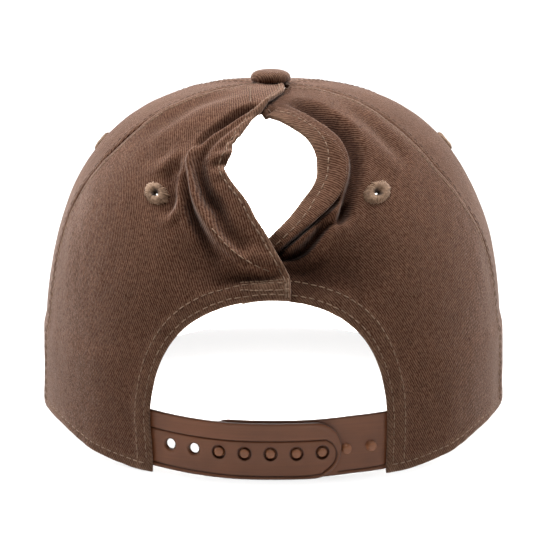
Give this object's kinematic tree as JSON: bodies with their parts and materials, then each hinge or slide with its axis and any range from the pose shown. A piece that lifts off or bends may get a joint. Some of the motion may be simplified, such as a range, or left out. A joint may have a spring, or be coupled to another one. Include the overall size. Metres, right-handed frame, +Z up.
{
  "type": "five-panel cap",
  "caption": "Cotton five-panel cap with a curved peak, an open slit at the back for a ponytail, and a plastic snap strap under the rear arch.",
  "frame": {"origin": "on the surface that the cap rests on, under the middle of the whole cap with its peak", "axes": "+Y from the back strap to the peak, +X to the wearer's right, +Z up to the button"},
  "size_m": [0.184, 0.2568, 0.1423],
  "materials": {
    "cloth": "washed cotton twill, matt, with a short soft nap",
    "band_cloth": "plain pale cotton tape, matt",
    "strap_plastic": "moulded plastic, satin",
    "eyelet_thread": "embroidery thread, slight sheen"
  },
  "bodies": {
    "root": {"front_panel": "cloth", "left_side_panel": "cloth", "right_side_panel": "cloth", "left_back_panel": "cloth", "right_back_panel": "cloth", "button": "cloth", "peak": "cloth", "sweatband": "band_cloth", "hole_strap": "strap_plastic", "peg_strap": "strap_plastic", "eyelet_back_left": "eyelet_thread", "eyelet_back_right": "eyelet_thread", "eyelet_side_left": "eyelet_thread", "eyelet_side_right": "eyelet_thread"}
  },
  "joints": []
}
